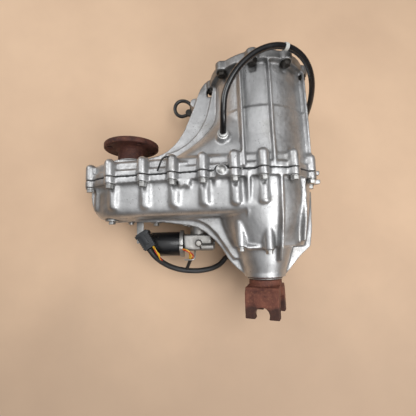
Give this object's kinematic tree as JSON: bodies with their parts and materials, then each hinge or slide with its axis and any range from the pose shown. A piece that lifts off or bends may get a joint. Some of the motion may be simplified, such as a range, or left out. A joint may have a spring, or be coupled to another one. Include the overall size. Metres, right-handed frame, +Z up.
{
  "type": "transfer case",
  "caption": "Chain-driven two-speed transfer case: split ribbed aluminium housing, low-range gears, front output flange, rear joint yoke and shift motor.",
  "frame": {"origin": "centre of the transmission mounting face, on the main shaft axis", "axes": "+Y forward along the main shaft out of the mounting face, +X to the right, away from the front output, +Z up"},
  "size_m": [0.4733, 0.478, 0.2408],
  "materials": {
    "cast_aluminium": "as cast, slightly stained",
    "zinc_casting": "as cast",
    "bolt_steel": "zinc plated, dull",
    "dark_bolt": "black oxide",
    "rusty_iron": "surface rust",
    "gear_steel": "ground",
    "bearing_steel": "ground",
    "black_rubber": "satin",
    "hose_rubber": "glossy",
    "motor_black": "satin black",
    "grey_plastic": "moulded",
    "wire_yellow": "insulation",
    "band_white": "tape",
    "sealant": "cured",
    "black_steel": "painted rod"
  },
  "bodies": {
    "case": {"front_case": "cast_aluminium", "rear_case": "cast_aluminium", "case_gasket": "sealant", "case_bolts": "bolt_steel", "fill_and_drain_plugs": "bolt_steel", "cup_plug": "bolt_steel", "pump_bolts": "bolt_steel", "motor_bolts": "bolt_steel", "dowels": "bolt_steel", "vent_fitting": "bolt_steel", "connector_bracket": "bolt_steel", "case_snap_rings": "bolt_steel", "adapter_bolts": "dark_bolt", "loop_clamp": "dark_bolt", "ring_gear": "gear_steel", "shift_rail": "gear_steel", "drive_chain": "gear_steel", "input_bearing": "bearing_steel", "rear_output_bearing": "bearing_steel", "front_output_bearing": "bearing_steel", "front_shaft_rear_bearing": "bearing_steel", "input_seal": "black_rubber", "rear_output_seal": "black_rubber", "front_output_seal": "black_rubber", "wiring_sleeve": "black_rubber", "vent_hose": "hose_rubber", "oil_pump": "zinc_casting", "oil_pickup": "zinc_casting", "motor_end_plate": "zinc_casting", "motor_gear_housing": "zinc_casting", "motor_can": "motor_black", "wiring_connector": "grey_plastic", "speed_sensor": "grey_plastic", "lead_wires": "wire_yellow", "hose_band": "band_white", "harness_loop": "black_steel", "wire_clip": "black_steel"},
    "main_line": {"main_shaft": "gear_steel", "rear_yoke": "rusty_iron", "rear_yoke_nut": "rusty_iron", "rear_slinger": "bolt_steel", "main_shaft_snap_rings": "bolt_steel"},
    "input": {"input_shaft": "gear_steel"},
    "carrier": {"planet_carrier": "gear_steel"},
    "planet_1": {"planet_gear_1": "gear_steel"},
    "planet_2": {"planet_gear_2": "gear_steel"},
    "planet_3": {"planet_gear_3": "gear_steel"},
    "planet_4": {"planet_gear_4": "gear_steel"},
    "range_sleeve": {"range_collar": "gear_steel"},
    "lockup_sleeve": {"lockup_collar": "gear_steel"},
    "range_shifter": {"range_fork": "zinc_casting"},
    "lockup_shifter": {"lockup_fork": "zinc_casting"},
    "cam": {"shift_cam": "gear_steel"},
    "front_line": {"front_output_shaft": "gear_steel", "driven_sprocket": "gear_steel", "front_output_flange": "rusty_iron", "front_slinger": "bolt_steel", "front_flange_nut": "rusty_iron"},
    "chain_wheel": {"drive_sprocket": "gear_steel"}
  },
  "joints": [
    {"name": "main_spin", "type": "hinge", "parent": "case", "child": "main_line", "pos_m": [0, 0, 0], "axis": [0, 1, 0], "continuous": true},
    {"name": "input_spin", "type": "hinge", "parent": "case", "child": "input", "pos_m": [0, 0, 0], "axis": [0, 1, 0], "continuous": true},
    {"name": "carrier_spin", "type": "hinge", "parent": "case", "child": "carrier", "pos_m": [0, 0, 0], "axis": [0, 1, 0], "continuous": true},
    {"name": "planet_1_spin", "type": "hinge", "parent": "carrier", "child": "planet_1", "pos_m": [0.05075, -0.081, 0], "axis": [0, 1, 0], "continuous": true},
    {"name": "planet_2_spin", "type": "hinge", "parent": "carrier", "child": "planet_2", "pos_m": [0, -0.081, 0.05075], "axis": [0, 1, 0], "continuous": true},
    {"name": "planet_3_spin", "type": "hinge", "parent": "carrier", "child": "planet_3", "pos_m": [-0.05075, -0.081, 0], "axis": [0, 1, 0], "continuous": true},
    {"name": "planet_4_spin", "type": "hinge", "parent": "carrier", "child": "planet_4", "pos_m": [0, -0.081, -0.05075], "axis": [0, 1, 0], "continuous": true},
    {"name": "range_fork_slide", "type": "slide", "parent": "case", "child": "range_shifter", "axis": [0, -1, 0], "range_m": [0, 0.01]},
    {"name": "range_collar_slide", "type": "slide", "parent": "main_line", "child": "range_sleeve", "axis": [0, -1, 0], "range_m": [0, 0.0104]},
    {"name": "cam_turn", "type": "hinge", "parent": "case", "child": "cam", "pos_m": [-0.128, -0.2, -0.04], "axis": [0, 1, 0], "range_deg": [0, 120]},
    {"name": "lockup_fork_slide", "type": "slide", "parent": "case", "child": "lockup_shifter", "axis": [0, -1, 0], "range_m": [0, 0.0144]},
    {"name": "lockup_collar_slide", "type": "slide", "parent": "main_line", "child": "lockup_sleeve", "axis": [0, -1, 0], "range_m": [0, 0.0144]},
    {"name": "front_spin", "type": "hinge", "parent": "case", "child": "front_line", "pos_m": [-0.26602, -0.14, -0.019], "axis": [0, 1, 0], "continuous": true, "deforming": ["drive_chain"]},
    {"name": "drive_sprocket_spin", "type": "hinge", "parent": "case", "child": "chain_wheel", "pos_m": [0, -0.236, 0], "axis": [0, 1, 0], "continuous": true}
  ],
  "couplings": [
    {"joint": "input_spin", "follows": "main_spin", "ratio": 1},
    {"joint": "carrier_spin", "follows": "main_spin", "ratio": 0.37931},
    {"joint": "planet_1_spin", "follows": "main_spin", "ratio": -1.9507},
    {"joint": "planet_2_spin", "follows": "main_spin", "ratio": -1.9507},
    {"joint": "planet_3_spin", "follows": "main_spin", "ratio": -1.9507},
    {"joint": "planet_4_spin", "follows": "main_spin", "ratio": -1.9507},
    {"joint": "range_collar_slide", "follows": "range_fork_slide", "ratio": 1},
    {"joint": "lockup_fork_slide", "follows": "cam_turn", "m_per_rad": 0.0066845},
    {"joint": "lockup_collar_slide", "follows": "cam_turn", "m_per_rad": 0.0066845},
    {"joint": "drive_sprocket_spin", "follows": "front_spin", "ratio": 1}
  ]
}
